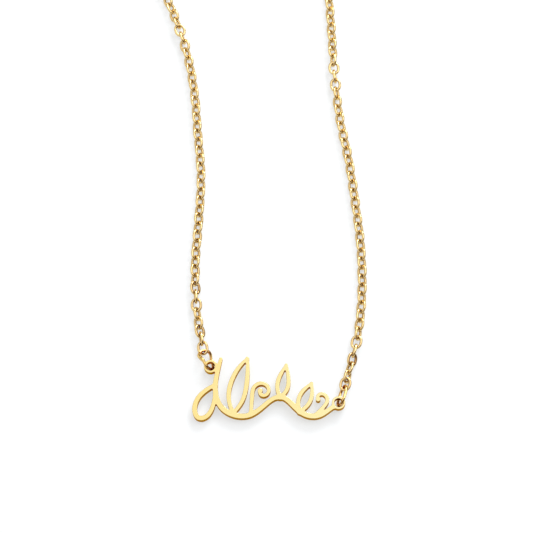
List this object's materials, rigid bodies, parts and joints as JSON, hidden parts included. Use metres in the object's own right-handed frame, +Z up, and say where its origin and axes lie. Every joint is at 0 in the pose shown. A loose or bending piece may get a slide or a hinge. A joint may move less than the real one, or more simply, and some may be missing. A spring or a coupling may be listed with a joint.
{
  "type": "nameplate necklace",
  "caption": "Fine cable chain necklace with an openwork gold plate hung from two end eyes, closed by a small hook clasp and laid flat.",
  "frame": {"origin": "centre of the necklace's outline as it lies, on the surface that it lies on", "axes": "+Z up from the surface, +Y from the plate towards the clasp, +X towards the plate's right end as seen from in front"},
  "size_m": [0.0678, 0.2006, 0.0036],
  "materials": {
    "plate_gold": "polished flat face, pale gold plating",
    "ring_gold": "polished squarish wire, gold plating",
    "chain_gold": "polished small links, gold plating",
    "clasp_gold": "polished casting, gold plating"
  },
  "bodies": {
    "root": {"nameplate": "plate_gold", "left_jump_ring": "ring_gold", "right_jump_ring": "ring_gold", "chain_left": "chain_gold", "chain_right": "chain_gold", "clasp": "clasp_gold", "end_ring": "ring_gold"}
  },
  "joints": []
}
